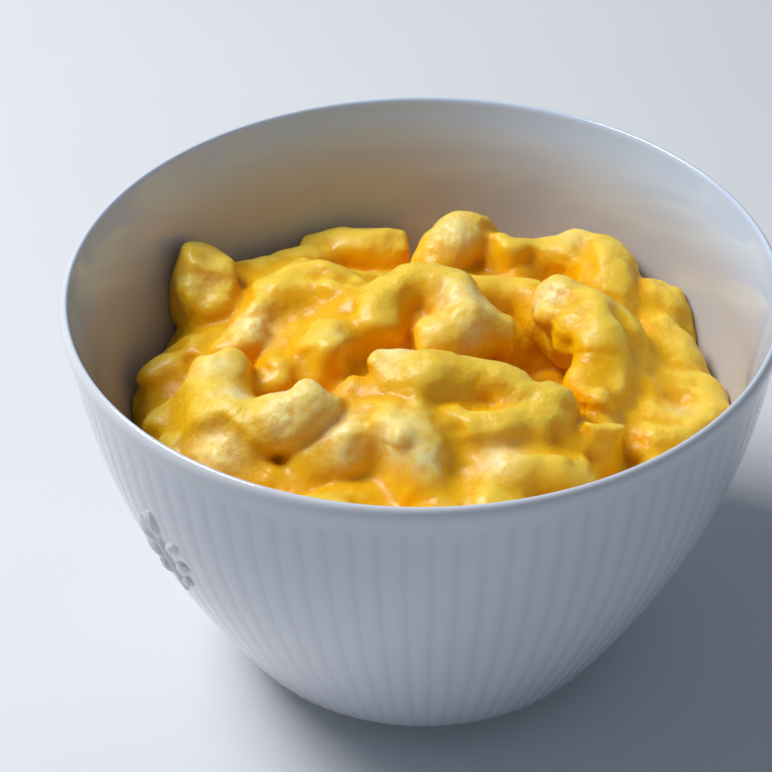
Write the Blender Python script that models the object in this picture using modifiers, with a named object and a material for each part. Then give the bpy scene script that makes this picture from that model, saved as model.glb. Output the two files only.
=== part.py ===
"""Mac and cheese heaped in a small round porcelain bowl.

Two pieces: the turned bowl, and one solid for the heap of sauced elbow macaroni out to its
uneven top. The origin is the centre of the foot ring's resting face, +Z is up, and the heap
is met from -Y. Driving sizes are in millimetres and degrees.
"""

import math

import bmesh
import bpy
import numpy as np
from mathutils import Euler

MM = 0.001
MERGE_WITHIN = 0.01

# Bowl, turned about Z. Points are (radius, height). The wall ends at RIM and thins towards it,
# and the lip rounds over from there, softer outside than in.
RIM = (58.9, 70.0)
RIM_PULL = (56.6, 59.0)
BASE_PULL = (58.0, 43.0)
BASE = (36.0, 5.6)
LIP_CREST = (58.1, 72.7)
LIP_PULL = 1.4
LIP_ROUND_IN = 0.45
LIP_ROUND_OUT = 0.75
WALL = 2.4
LIP_THINNING = 0.75
THINNING_FROM = 58.0
INNER_WALL_SHARE = 0.88
FLOOR_HEIGHT = 6.0
UNDERSIDE_HEIGHT = 3.0
RECESS_HEIGHT = 2.6
FOOT_OUTER_RADIUS = 29.6
FOOT_INNER_RADIUS = 25.6
FOOT_EDGE = 0.6
TURN_STEPS = 56
WALL_STEPS = 9
LIP_STEPS = 3
BASE_STEPS = 3

# Heap, cut to the bowl's inside with a small gap all round.
FIT_GAP = 0.3
HEAP_CELL = 2.0
HEAP_BOTTOM = 4.0
BED_EDGE_HEIGHT = 41.0
BED_CROWN = 9.0
BED_RADIUS = 51.0
BLEND = 0.6
SKIRT_START = 0.8
ELBOW_RADIUS = 4.5
ELBOW_LENGTH = 26.0
ELBOW_SAMPLES = 25

# Linear colours.
PORCELAIN = (0.71, 0.72, 0.74)
CHEESE_SAUCE = (0.90, 0.56, 0.09)

# Each elbow is an arc. Its row gives the middle's x, y and z, the heading of its run there,
# the lean up along that run, the turn of its bend about the run (0 flat, 90 arched with the
# ends down) and the bend. Where they aren't the usual ones, its length and radius follow.
ELBOWS = [
    # back, left to right
    (-39.5, 28.6, 51.5, -158, -77, 152, 17, 9.3, 5.1),
    (-36.8, 24.1, 48.9, -98, -78, -77, 37, 8.3, 5.6),
    (-33.5, 25, 37, -90, -78, 90, 30, 20, 4.6),
    (-26.0, 36.8, 47.5, 27, 0, 105, 25, 19.3),
    (-12.8, 43.6, 47.6, -4, 2, 130, 44, 18.0, 4.5),
    (6.5, 37.7, 55.1, 40, -6, 82, 213, 19.3, 4.9),
    (16.6, 30.5, 44.5, -90, -66, 90, 30, 20, 4.6),
    (24.4, 34.6, 51.9, 5, 7, 74, 153, 21.6, 4.2),
    (34.2, 23.9, 51.9, -86, -17, 88, 88, 19.4, 4.9),
    (42.2, 22.1, 49.8, -31, -15, 89, 117, 11.3, 3.8),
    # middle, left to right
    (-41, 19, 40, 80, 15, 50, 120),
    (-44.5, 8, 43, -110, -15, -170, 120),
    (-25.3, 22.0, 52.7, 36, 7, 12, 140, 25.7),
    (-24.5, 8, 49, -95, 0, -60, 40, 18, 3.8),
    (-15.5, 6.5, 52.0, 35, 8, 155, 38, 9.0, 3.6),
    (-0.3, 18.8, 58.0, 3, 3, 21, 195, 29.0, 4.2),
    (8.6, 8.6, 54.6, 13, -5, 102, 41, 12.9, 4.1),
    (18, 24, 50, -20, -5, 10, 110),
    (31.0, 8.0, 54.5, -71, -10, 42, 73, 24.9, 4.3),
    (33.3, 10.5, 53.0, -51, -10, 58, 88, 10.5, 3.8),
    (42.8, 13.5, 48.0, -61, -7, 67, 89, 17.5, 5.0),
    (45.2, 0.2, 46.5, -16, -10, 91, 135, 7.7, 4.3),
    (34.8, 0.2, 47.1, -96, -3, 145, 75, 18.2, 4.0),
    # front, left to right
    (-35.1, -5.5, 48.9, -22, 11, 26, 91, 17.4, 4.2),
    (-30.1, -12.3, 52.7, -39, 11, -163, 146, 28.9, 5.0),
    (-33.0, -16.1, 49.5, -17, 2, 59, 100, 15.9, 4.6),
    (3.7, -9.6, 58.4, -6, -4, 109, 50, 20.5, 5.0),
    (-12.9, -21.8, 53.0, 17, 23, 61, 73, 16.3, 4.4),
    (0.8, -25.8, 50.7, -60, -55, 65, 112, 14.5),
    (15.0, -17.6, 55.5, 25, -2, 148, 63, 17.5, 4.1),
    (17.9, -24.8, 50.4, 2, 0, 59, 117, 14.9, 4.4),
    (28.9, -18.2, 46.9, -86, -62, 98, 11, 13.1, 3.9),
    (44.0, -11.0, 47.5, 36, -4, 127, 61, 14.7, 4.2),
    # along the near wall, left to right
    (-38, -22, 44, 120, 0, 20, 110),
    (-21, -32, 48, -10, 5, 30, 100),
    (-21, -40, 44, 152, 0, 20, 90),
    (-4, -36, 50, 40, -5, -20, 110),
    (-2, -45, 43.5, 178, 0, 15, 90),
    (13, -35, 48.5, -25, 5, 70, 90),
    (18, -41, 44, -156, 0, 25, 90),
    (31, -32, 45, -145, 0, 20, 120),
    (40, -21, 43.5, -118, 0, 20, 100),
    # lower ones that fill between them
    (-18, 32, 46.5, 15, 0, 30, 100),
    (-3, 31, 46.5, -12, 0, 20, 80),
    (-12, 16, 49.5, 60, 0, 20, 110),
    (0, -1, 50, 10, 0, 90, 60),
    (-6, -17, 50.5, -12, 0, 40, 80),
    (9, 27, 46.5, -20, 0, 60, 80),
    (33, -9, 45.5, -50, 0, 20, 90),
    (-40, -5, 43, -80, 0, 30, 100),
    (-33, 12, 45, 20, 0, 60, 80),
    (-31, -31, 43.5, 140, 0, 10, 90),
    (-14, -29, 46.5, 25, 0, 60, 80),
    (5, -41, 43, 10, 0, 30, 90),
    (22, -33, 45.5, -15, 0, 50, 90),
    (37, 8, 45, 60, 0, 60, 90),
]


def principled(name, colour, roughness, subsurface=0.0):
    material = bpy.data.materials.new(name)
    material.use_nodes = True
    shader = material.node_tree.nodes["Principled BSDF"]
    shader.inputs["Base Color"].default_value = (*colour, 1.0)
    shader.inputs["Roughness"].default_value = roughness
    shader.inputs["Metallic"].default_value = 0.0
    shader.inputs["Subsurface Weight"].default_value = subsurface
    return material


def collection(name):
    made = bpy.data.collections.new(name)
    bpy.context.scene.collection.children.link(made)
    return made


def cubic(start, pull_a, pull_b, end, shares):
    """Points on a cubic Bezier curve, and the unit tangents there."""
    p0, p1, p2, p3 = (np.array(p, float) for p in (start, pull_a, pull_b, end))
    t = np.array(shares)[:, None]
    points = (1 - t) ** 3 * p0 + 3 * t * (1 - t) ** 2 * p1 + 3 * t**2 * (1 - t) * p2 + t**3 * p3
    runs = (1 - t) ** 2 * (p1 - p0) + 2 * t * (1 - t) * (p2 - p1) + t**2 * (p3 - p2)
    return points, runs / np.linalg.norm(runs, axis=1)[:, None]


def sweep_to_level(start, run, end, steps):
    """A curve that leaves start along run and comes level at end."""
    reach = (end[1] - start[1]) / run[1]
    corner = start + run * reach
    t = np.linspace(0, 1, steps + 1)[1:, None]
    return (1 - t) ** 2 * start + 2 * t * (1 - t) * corner + t**2 * np.array(end)


def outer_wall():
    return cubic(RIM, RIM_PULL, BASE_PULL, BASE, np.linspace(0, 1, WALL_STEPS + 1))


def inner_wall(inset):
    """The inside from the lip down to the floor's centre, set in from the outer wall."""
    shares = np.linspace(0, INNER_WALL_SHARE, WALL_STEPS)
    points, runs = cubic(RIM, RIM_PULL, BASE_PULL, BASE, shares)
    inward = np.stack([runs[:, 1], -runs[:, 0]], axis=1)
    thinned = LIP_THINNING * np.clip((points[:, 1:] - THINNING_FROM) / (RIM[1] - THINNING_FROM), 0, 1)
    wall = points + inward * (inset - thinned)
    centre = (0.0, FLOOR_HEIGHT + inset - WALL)
    return np.vstack([wall, sweep_to_level(wall[-1], runs[-1], centre, BASE_STEPS + 1)])


def lip(inner_top, outer_top, run):
    """From the inner wall over the crest to the outer one, leaving both along the wall."""
    crest = np.array(LIP_CREST)
    rise = -run * LIP_PULL
    shares = np.linspace(0, 1, LIP_STEPS + 1)
    inner_half, _ = cubic(inner_top, inner_top + rise, crest - (LIP_ROUND_IN, 0), crest, shares[1:])
    outer_half, _ = cubic(crest, crest + (LIP_ROUND_OUT, 0), outer_top + rise, outer_top, shares[1:-1])
    return np.vstack([inner_half, outer_half])


def bowl_profile():
    outer, runs = outer_wall()
    inner = inner_wall(WALL)
    under = sweep_to_level(
        outer[-1], runs[-1], (FOOT_OUTER_RADIUS + FOOT_EDGE, UNDERSIDE_HEIGHT), BASE_STEPS
    )
    foot = [
        (FOOT_OUTER_RADIUS, UNDERSIDE_HEIGHT - FOOT_EDGE),
        (FOOT_OUTER_RADIUS, FOOT_EDGE),
        (FOOT_OUTER_RADIUS - FOOT_EDGE, 0.0),
        (FOOT_INNER_RADIUS + FOOT_EDGE, 0.0),
        (FOOT_INNER_RADIUS, FOOT_EDGE),
        (FOOT_INNER_RADIUS - FOOT_EDGE, RECESS_HEIGHT),
        (0.0, RECESS_HEIGHT),
    ]
    return np.vstack([inner[::-1], lip(inner[0], outer[0], runs[0]), outer, under, foot])


def turned(name, profile, home):
    """A body of revolution, from a profile of (radius, height) points in millimetres."""
    mesh = bpy.data.meshes.new(name)
    points = [(radius * MM, 0.0, height * MM) for radius, height in profile]
    mesh.from_pydata(points, [(i, i + 1) for i in range(len(points) - 1)], [])
    made = bpy.data.objects.new(name, mesh)
    home.objects.link(made)
    screw = made.modifiers.new("turn", "SCREW")
    screw.angle = math.tau
    screw.steps = TURN_STEPS
    screw.render_steps = TURN_STEPS
    screw.use_merge_vertices = True
    screw.merge_threshold = MERGE_WITHIN * MM
    screw.use_smooth_shade = True
    return made


def elbow_centreline(x, y, z, heading, lean, turn, bend, length=ELBOW_LENGTH, radius=ELBOW_RADIUS):
    """Points along one elbow's middle, and its radius."""
    along = np.linspace(-length / 2, length / 2, ELBOW_SAMPLES)
    curl = length / math.radians(bend)
    tilt = Euler((math.radians(turn), math.radians(-lean), math.radians(heading)), "XYZ")
    place = np.array(tilt.to_matrix())
    arc = np.stack([curl * np.sin(along / curl), curl * np.cos(along / curl) - curl, 0 * along], 1)
    return arc @ place.T + np.array([x, y, z]), radius


def crest(gap):
    """A round top over an elbow's middle, and past SKIRT_START a straight skirt of sauce."""
    shoulder = math.sqrt(1 - SKIRT_START**2)
    skirt = shoulder - (gap - SKIRT_START) * SKIRT_START / shoulder
    return np.where(gap < SKIRT_START, np.sqrt(np.clip(1 - gap**2, 0, 1)), skirt)


def heap_height(spots):
    """The heap's top over each (x, y) spot: elbows standing out of a crowned bed of sauce."""
    reach = np.hypot(spots[:, 0], spots[:, 1]) / BED_RADIUS
    bed = BED_EDGE_HEIGHT + BED_CROWN * np.clip(1 - reach**2, 0, 1)
    swell = np.ones(len(spots))
    for row in ELBOWS:
        middle, radius = elbow_centreline(*row)
        gap = np.linalg.norm(spots[:, None, :] - middle[None, :, :2], axis=2) / radius
        top = (middle[:, 2] + radius * crest(gap)).max(axis=1)
        swell += np.exp((top - bed) / BLEND)
    return bed + BLEND * np.log(swell)


def heap_of_elbows(name, home):
    """A grid raised to the heap's height, closed below, ready to be cut to the bowl."""
    half = BED_RADIUS + HEAP_CELL
    cells = round(2 * half / HEAP_CELL)
    bpy.ops.mesh.primitive_grid_add(x_subdivisions=cells, y_subdivisions=cells, size=2 * half * MM)
    heap = bpy.context.object
    heap.name = name
    heap.data.name = name
    for holder in list(heap.users_collection):
        holder.objects.unlink(heap)
    home.objects.link(heap)

    shape = bmesh.new()
    shape.from_mesh(heap.data)
    spots = np.array([vertex.co.xy for vertex in shape.verts]) / MM
    for vertex, height in zip(shape.verts, heap_height(spots)):
        vertex.co.z = height * MM
    skirt = bmesh.ops.extrude_face_region(shape, geom=list(shape.faces), use_keep_orig=True)
    for item in skirt["geom"]:
        if isinstance(item, bmesh.types.BMVert):
            item.co.z = HEAP_BOTTOM * MM
    bmesh.ops.recalc_face_normals(shape, faces=shape.faces)
    shape.to_mesh(heap.data)
    shape.free()
    return heap


def cut_to(body, mould):
    cut = body.modifiers.new("cut to the bowl", "BOOLEAN")
    cut.operation = "INTERSECT"
    cut.object = mould
    mould.hide_render = True
    mould.display_type = "WIRE"


for old in list(bpy.data.objects):
    bpy.data.objects.remove(old)

parts = collection("mac_and_cheese_bowl")
cutters = collection("cutters")

bowl = turned("bowl", bowl_profile(), parts)
bowl.data.materials.append(principled("white glazed porcelain", PORCELAIN, 0.12))

heap = heap_of_elbows("mac_and_cheese", parts)
heap.data.materials.append(principled("cheese sauce on pasta", CHEESE_SAUCE, 0.35, 0.3))
heap.data.shade_smooth()
mould = turned("heap_mould", np.vstack([(0.0, RIM[1]), inner_wall(WALL + FIT_GAP)]), cutters)
cut_to(heap, mould)
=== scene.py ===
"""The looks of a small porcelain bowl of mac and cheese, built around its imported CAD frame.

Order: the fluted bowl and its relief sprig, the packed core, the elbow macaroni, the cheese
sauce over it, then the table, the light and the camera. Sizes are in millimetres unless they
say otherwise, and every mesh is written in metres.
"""
import math

import bpy
import numpy as np
import openvdb
from mathutils import Euler, Matrix, Vector


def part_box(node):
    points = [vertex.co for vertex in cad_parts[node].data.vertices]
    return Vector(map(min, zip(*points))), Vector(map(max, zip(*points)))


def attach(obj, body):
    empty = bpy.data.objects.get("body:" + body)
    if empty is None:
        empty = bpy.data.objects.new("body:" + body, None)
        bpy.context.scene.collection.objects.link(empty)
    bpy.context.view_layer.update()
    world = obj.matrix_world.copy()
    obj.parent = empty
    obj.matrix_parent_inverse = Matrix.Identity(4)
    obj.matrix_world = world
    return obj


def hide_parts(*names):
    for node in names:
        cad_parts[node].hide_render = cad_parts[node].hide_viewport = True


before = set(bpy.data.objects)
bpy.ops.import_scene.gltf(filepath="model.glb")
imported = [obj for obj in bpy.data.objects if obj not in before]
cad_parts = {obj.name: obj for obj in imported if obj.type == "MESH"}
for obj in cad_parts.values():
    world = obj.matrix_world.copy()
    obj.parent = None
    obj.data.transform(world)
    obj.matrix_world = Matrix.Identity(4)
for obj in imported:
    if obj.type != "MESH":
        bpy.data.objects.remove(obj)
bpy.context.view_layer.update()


# ---------------------------------------------------------------------------
# Bowl. Thin white porcelain, slip cast in a fluted mould and dipped in a clear glaze, which
# pools in the narrow grooves between the flutes. The band under the rim and the whole inside
# are smooth. It stands on a low foot ring.
# ---------------------------------------------------------------------------
MM = 0.001
RIM_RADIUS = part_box("bowl")[1].x / MM
LIP_BULGE = 0.1
RIM = (RIM_RADIUS - LIP_BULGE, 70.0)
RIM_PULL = (56.6, 59.0)
BASE_PULL = (58.0, 43.0)
BASE = (36.0, 5.6)
LIP_CREST = (58.1, 72.7)
LIP_PULL = 1.4
LIP_ROUND_IN = 0.45
LIP_ROUND_OUT = 0.75
LIP_STEPS = 6
WALL = 2.4
LIP_THINNING = 0.75
THINNING_FROM = 58.0
INNER_WALL_SHARE = 0.88
WALL_STEPS = 33
FLOOR_HEIGHT = 6.0
UNDERSIDE_HEIGHT = 3.0
RECESS_HEIGHT = 2.6
FOOT_OUTER_RADIUS = 29.6
FOOT_INNER_RADIUS = 25.6
FOOT_EDGE = 0.6
FOOT_DRAFT = 0.2
FLUTES = 92
STEPS_PER_FLUTE = 8
FLUTE_DEPTH = 0.075
FLUTE_FADE = 2.5
SMOOTH_BAND_FROM = 69.0
PORCELAIN = "#D8DADE"
PORCELAIN_POOLED = "#CED2DA"
# Painted shade: the inside is coloured greyer than the outside. Painted cool light: it turns bluer
# towards the lip, between the two heights below.
PORCELAIN_INSIDE_SHADE = "#C2C1C5"
PORCELAIN_INNER_LIP_COOL_LIGHT = "#C9D8EC"
INNER_LIP_FROM = 57.0
INNER_LIP_FULL = 69.0


def cubic(start, pull_a, pull_b, end, shares):
    """Points on a cubic Bezier curve, and the unit tangents there."""
    p0, p1, p2, p3 = (np.array(p, float) for p in (start, pull_a, pull_b, end))
    t = np.array(shares)[:, None]
    points = (1 - t) ** 3 * p0 + 3 * t * (1 - t) ** 2 * p1 + 3 * t**2 * (1 - t) * p2 + t**3 * p3
    runs = (1 - t) ** 2 * (p1 - p0) + 2 * t * (1 - t) * (p2 - p1) + t**2 * (p3 - p2)
    return points, runs / np.linalg.norm(runs, axis=1)[:, None]


def sweep_to_level(start, run, end, steps):
    """A curve that leaves start along run and comes level at end."""
    corner = start + run * (end[1] - start[1]) / run[1]
    t = np.linspace(0, 1, steps + 1)[1:, None]
    return (1 - t) ** 2 * start + 2 * t * (1 - t) * corner + t**2 * np.array(end)


def inner_wall(inset, wall_steps, floor_steps):
    """The inside from the lip down to the floor's centre, set in from the outer wall."""
    shares = np.linspace(0, INNER_WALL_SHARE, wall_steps)
    points, runs = cubic(RIM, RIM_PULL, BASE_PULL, BASE, shares)
    inward = np.stack([runs[:, 1], -runs[:, 0]], axis=1)
    thinned = LIP_THINNING * np.clip((points[:, 1:] - THINNING_FROM) / (RIM[1] - THINNING_FROM), 0, 1)
    wall = points + inward * (inset - thinned)
    centre = (0.0, FLOOR_HEIGHT + inset - WALL)
    return np.vstack([wall, sweep_to_level(wall[-1], runs[-1], centre, floor_steps)])


def lip(inner_top, outer_top, run):
    """From the inner wall over the crest to the outer one, leaving both along the wall."""
    crest = np.array(LIP_CREST)
    rise = -run * LIP_PULL
    shares = np.linspace(0, 1, LIP_STEPS + 1)
    inner_half, _ = cubic(inner_top, inner_top + rise, crest - (LIP_ROUND_IN, 0), crest, shares[1:])
    outer_half, _ = cubic(crest, crest + (LIP_ROUND_OUT, 0), outer_top + rise, outer_top, shares[1:-1])
    return np.vstack([inner_half, outer_half])


def bowl_profile():
    outer, runs = cubic(RIM, RIM_PULL, BASE_PULL, BASE, np.linspace(0, 1, WALL_STEPS + 1))
    inner = inner_wall(WALL, 26, 9)
    under = sweep_to_level(outer[-1], runs[-1], (FOOT_OUTER_RADIUS + FOOT_EDGE, UNDERSIDE_HEIGHT), 6)
    foot = [(FOOT_OUTER_RADIUS, UNDERSIDE_HEIGHT - FOOT_EDGE)]
    for middle, turn in ((FOOT_OUTER_RADIUS - FOOT_EDGE, 0.0),
                         (FOOT_INNER_RADIUS + FOOT_EDGE, -math.pi / 2)):
        foot += [(middle + FOOT_EDGE * math.cos(a), FOOT_EDGE + FOOT_EDGE * math.sin(a))
                 for a in np.linspace(turn, turn - math.pi / 2, 5)]
    foot = [*foot, (FOOT_INNER_RADIUS - FOOT_DRAFT, RECESS_HEIGHT - FOOT_EDGE),
            (FOOT_INNER_RADIUS - FOOT_EDGE, RECESS_HEIGHT), (0.0, RECESS_HEIGHT)]
    return np.vstack([inner[::-1], lip(inner[0], outer[0], runs[0]), outer, under, foot])


def linear(hex_colour):
    """An sRGB hex colour as linear RGBA."""
    parts = [int(hex_colour[i:i + 2], 16) / 255 for i in (1, 3, 5)]
    return (*[p / 12.92 if p <= 0.04045 else ((p + 0.055) / 1.055) ** 2.4 for p in parts], 1.0)


def add(tree, kind, settings=None, inputs=None):
    """Adds a node with its settings, and sets or links its inputs by name or number."""
    node = tree.nodes.new(kind)
    for key, value in (settings or {}).items():
        setattr(node, key, value)
    for key, value in (inputs or {}).items():
        socket = node.inputs[key]
        if isinstance(value, bpy.types.NodeSocket):
            tree.links.new(value, socket)
        else:
            socket.default_value = value
    return node


def new_material(name):
    """An empty Principled material: the material, its tree and its shader."""
    material = bpy.data.materials.new(name)
    material.use_nodes = True
    tree = material.node_tree
    return material, tree, tree.nodes["Principled BSDF"]


def new_object(name, mesh):
    made = bpy.data.objects.new(name, mesh)
    bpy.context.scene.collection.objects.link(made)
    return made


def apply_modifiers(made):
    """Turns an object's evaluated shape into its plain mesh, and drops its modifiers."""
    bpy.context.view_layer.update()
    graph = bpy.context.evaluated_depsgraph_get()
    solid = bpy.data.meshes.new_from_object(made.evaluated_get(graph))
    made.modifiers.clear()
    made.data = solid
    solid.name = made.name
    return made


def turned(name, profile, steps):
    """A body of revolution from a profile of (radius, height), as a closed smooth mesh."""
    mesh = bpy.data.meshes.new(name)
    points = [(radius * MM, 0.0, height * MM) for radius, height in profile]
    mesh.from_pydata(points, [(i, i + 1) for i in range(len(points) - 1)], [])
    made = new_object(name, mesh)
    screw = made.modifiers.new("turn", "SCREW")
    screw.angle = math.tau
    screw.steps = steps
    screw.render_steps = steps
    screw.use_merge_vertices = True
    screw.merge_threshold = 0.00001
    screw.use_smooth_shade = True
    return made


def geometry_tree(name, sizes):
    """A Geometry Nodes tree with geometry in and out and a named float input for each size."""
    tree = bpy.data.node_groups.new(name, "GeometryNodeTree")
    tree.interface.new_socket("Geometry", in_out="INPUT", socket_type="NodeSocketGeometry")
    tree.interface.new_socket("Geometry", in_out="OUTPUT", socket_type="NodeSocketGeometry")
    for size in sizes:
        tree.interface.new_socket(size, in_out="INPUT", socket_type="NodeSocketFloat")
    return tree, tree.nodes.new("NodeGroupInput"), tree.nodes.new("NodeGroupOutput")


def use_tree(made, tree, sizes):
    """Puts the tree on an object, with its inputs set by socket identifier."""
    modifier = made.modifiers.new(tree.name, "NODES")
    modifier.node_group = tree
    for item in tree.interface.items_tree:
        if item.in_out == "INPUT" and item.name in sizes:
            modifier[item.identifier] = float(sizes[item.name])
    return modifier


def flute_tree(material):
    """Presses narrow upright grooves into the outside, fading out below the rim and at the base."""
    tree, given, out = geometry_tree("flutes", ["Count", "Depth", "Top", "Fade", "Bottom"])
    position = add(tree, "GeometryNodeInputPosition")
    normal = add(tree, "GeometryNodeInputNormal")
    spot = add(tree, "ShaderNodeSeparateXYZ", inputs={0: position.outputs[0]})
    angle = add(tree, "ShaderNodeMath", {"operation": "ARCTAN2"},
                {0: spot.outputs[1], 1: spot.outputs[0]})
    phase = add(tree, "ShaderNodeMath", {"operation": "MULTIPLY"},
                {0: angle.outputs[0], 1: given.outputs["Count"]})
    wave = add(tree, "ShaderNodeMath", {"operation": "COSINE"}, {0: phase.outputs[0]})
    swell = add(tree, "ShaderNodeMath", {"operation": "MULTIPLY_ADD"},
                {0: wave.outputs[0], 1: 0.5, 2: 0.5})
    groove = add(tree, "ShaderNodeMath", {"operation": "POWER"}, {0: swell.outputs[0], 1: 5.0})
    broad = add(tree, "ShaderNodeMath", {"operation": "MULTIPLY"}, {0: swell.outputs[0], 1: 0.35})
    press = add(tree, "ShaderNodeMath", {"operation": "MULTIPLY_ADD"},
                {0: groove.outputs[0], 1: 0.65, 2: broad.outputs[0]})
    fade_from = add(tree, "ShaderNodeMath", {"operation": "SUBTRACT"},
                    {0: given.outputs["Top"], 1: given.outputs["Fade"]})
    upper = add(tree, "ShaderNodeMapRange", {"interpolation_type": "SMOOTHSTEP"},
                {"Value": spot.outputs[2], "From Min": given.outputs["Top"],
                 "From Max": fade_from.outputs[0]})
    base_top = add(tree, "ShaderNodeMath", {"operation": "ADD"},
                   {0: given.outputs["Bottom"], 1: given.outputs["Fade"]})
    lower = add(tree, "ShaderNodeMapRange", {"interpolation_type": "SMOOTHSTEP"},
                {"Value": spot.outputs[2], "From Min": given.outputs["Bottom"],
                 "From Max": base_top.outputs[0]})
    flat = add(tree, "ShaderNodeCombineXYZ", inputs={0: spot.outputs[0], 1: spot.outputs[1]})
    outward = add(tree, "ShaderNodeVectorMath", {"operation": "NORMALIZE"}, {0: flat.outputs[0]})
    facing = add(tree, "ShaderNodeVectorMath", {"operation": "DOT_PRODUCT"},
                 {0: outward.outputs[0], 1: normal.outputs[0]})
    outside = add(tree, "ShaderNodeMath", {"operation": "GREATER_THAN"},
                  {0: facing.outputs["Value"], 1: 0.2})
    depth = press
    for mask in (upper, lower, outside):
        depth = add(tree, "ShaderNodeMath", {"operation": "MULTIPLY"},
                    {0: depth.outputs[0], 1: mask.outputs[0]})
    reach = add(tree, "ShaderNodeMath", {"operation": "MULTIPLY"},
                {0: depth.outputs[0], 1: given.outputs["Depth"]})
    inward = add(tree, "ShaderNodeMath", {"operation": "MULTIPLY"}, {0: reach.outputs[0], 1: -1.0})
    offset = add(tree, "ShaderNodeVectorMath", {"operation": "SCALE"},
                 {0: normal.outputs[0], "Scale": inward.outputs[0]})
    keep = add(tree, "GeometryNodeStoreNamedAttribute", {"data_type": "FLOAT", "domain": "POINT"},
               {"Geometry": given.outputs["Geometry"], "Name": "groove", "Value": depth.outputs[0]})
    inner = add(tree, "ShaderNodeMapRange", {"interpolation_type": "SMOOTHSTEP"},
                {"Value": facing.outputs["Value"], "From Min": 0.3, "From Max": -0.3})
    keep = add(tree, "GeometryNodeStoreNamedAttribute", {"data_type": "FLOAT", "domain": "POINT"},
               {"Geometry": keep.outputs[0], "Name": "inside", "Value": inner.outputs[0]})
    moved = add(tree, "GeometryNodeSetPosition",
                inputs={"Geometry": keep.outputs[0], "Offset": offset.outputs[0]})
    dressed = add(tree, "GeometryNodeSetMaterial",
                  inputs={"Geometry": moved.outputs[0], "Material": material})
    tree.links.new(dressed.outputs[0], out.inputs[0])
    return tree


def porcelain_glazed():
    """White hard porcelain under a clear dipped glaze: near-white with a cool cast where the
    glaze pools in the grooves, mirror gloss with the faint orange peel of a fired surface. The
    inside is painted greyer as painted shade, and bluer towards the lip as painted cool light."""
    material, tree, shader = new_material("porcelain_clear_glaze_fired")
    shader.inputs["IOR"].default_value = 1.52
    shader.inputs["Coat Weight"].default_value = 0.0
    shader.inputs["Subsurface Weight"].default_value = 0.12
    shader.inputs["Subsurface Radius"].default_value = (1.0, 0.9, 0.8)
    shader.inputs["Subsurface Scale"].default_value = 0.8 * MM
    where = add(tree, "ShaderNodeTexCoord")
    groove = add(tree, "ShaderNodeAttribute", {"attribute_name": "groove"})
    drift = add(tree, "ShaderNodeTexNoise",
                inputs={"Vector": where.outputs["Object"], "Scale": 1 / (40 * MM), "Detail": 2.0})
    pooled = add(tree, "ShaderNodeMath", {"operation": "MULTIPLY_ADD", "use_clamp": True},
                 {0: drift.outputs[0], 1: 0.25, 2: groove.outputs["Fac"]})
    body = add(tree, "ShaderNodeMix", {"data_type": "RGBA"},
               {0: pooled.outputs[0], 6: linear(PORCELAIN), 7: linear(PORCELAIN_POOLED)})
    inside = add(tree, "ShaderNodeAttribute", {"attribute_name": "inside"})
    spot = add(tree, "ShaderNodeSeparateXYZ", inputs={0: where.outputs["Object"]})
    height = add(tree, "ShaderNodeMapRange", {"interpolation_type": "SMOOTHSTEP"},
                 {"Value": spot.outputs[2], "From Min": INNER_LIP_FROM * MM,
                  "From Max": INNER_LIP_FULL * MM})
    # Painted shade on the inside wall, turning to painted cool light towards the lip.
    inside_shade_and_cool_light = add(tree, "ShaderNodeMix", {"data_type": "RGBA"},
                 {0: height.outputs[0], 6: linear(PORCELAIN_INSIDE_SHADE), 7: linear(PORCELAIN_INNER_LIP_COOL_LIGHT)})
    body = add(tree, "ShaderNodeMix", {"data_type": "RGBA"},
               {0: inside.outputs["Fac"], 6: body.outputs[2], 7: inside_shade_and_cool_light.outputs[2]})
    tree.links.new(body.outputs[2], shader.inputs["Base Color"])
    handling = add(tree, "ShaderNodeTexNoise",
                   inputs={"Vector": where.outputs["Object"], "Scale": 1 / (9 * MM), "Detail": 4.0})
    gloss = add(tree, "ShaderNodeMapRange",
                inputs={"Value": handling.outputs[0], "From Min": 0.35, "From Max": 0.75,
                        "To Min": 0.05, "To Max": 0.11})
    tree.links.new(gloss.outputs[0], shader.inputs["Roughness"])
    peel = add(tree, "ShaderNodeTexNoise",
               inputs={"Vector": where.outputs["Object"], "Scale": 1 / (3 * MM), "Detail": 1.0})
    relief = add(tree, "ShaderNodeBump",
                 inputs={"Height": peel.outputs[0], "Strength": 0.25, "Distance": 0.03 * MM})
    tree.links.new(relief.outputs[0], shader.inputs["Normal"])
    return material


porcelain = porcelain_glazed()
bowl = turned("porcelain_bowl", bowl_profile(), FLUTES * STEPS_PER_FLUTE)
use_tree(bowl, flute_tree(porcelain),
         {"Count": FLUTES, "Depth": FLUTE_DEPTH * MM, "Top": SMOOTH_BAND_FROM * MM,
          "Fade": FLUTE_FADE * MM, "Bottom": UNDERSIDE_HEIGHT * MM})
apply_modifiers(bowl)
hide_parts("bowl")
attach(bowl, "root")


# ---------------------------------------------------------------------------
# Relief sprig. A plain raised leaf sprig, cast in one with the wall and softened by the glaze.
# It stands less than a millimetre proud, on the smooth flank to the left of the front.
# ---------------------------------------------------------------------------
SPRIG_HEADING = 219.0
SPRIG_HEIGHT = 43.5
SPRIG_LENGTH = 21.0
SPRIG_WIDTH = 15.0
SPRIG_RISE = 0.9
SPRIG_STEP = 0.25
SPRIG_ROOT = 0.5
# Each leaf: how far along the sprig and aside its middle is, its heading, length and width.
LEAVES = [(7.0, 0.0, 90, 7.5, 3.2), (3.6, 3.4, 48, 6.6, 2.9), (3.2, -3.4, 132, 6.6, 2.9),
          (-1.0, 3.9, 40, 6.4, 2.8), (-1.4, -3.9, 140, 6.4, 2.8), (-5.2, 3.0, 35, 5.0, 2.3),
          (-5.4, -3.0, 145, 5.0, 2.3)]


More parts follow.
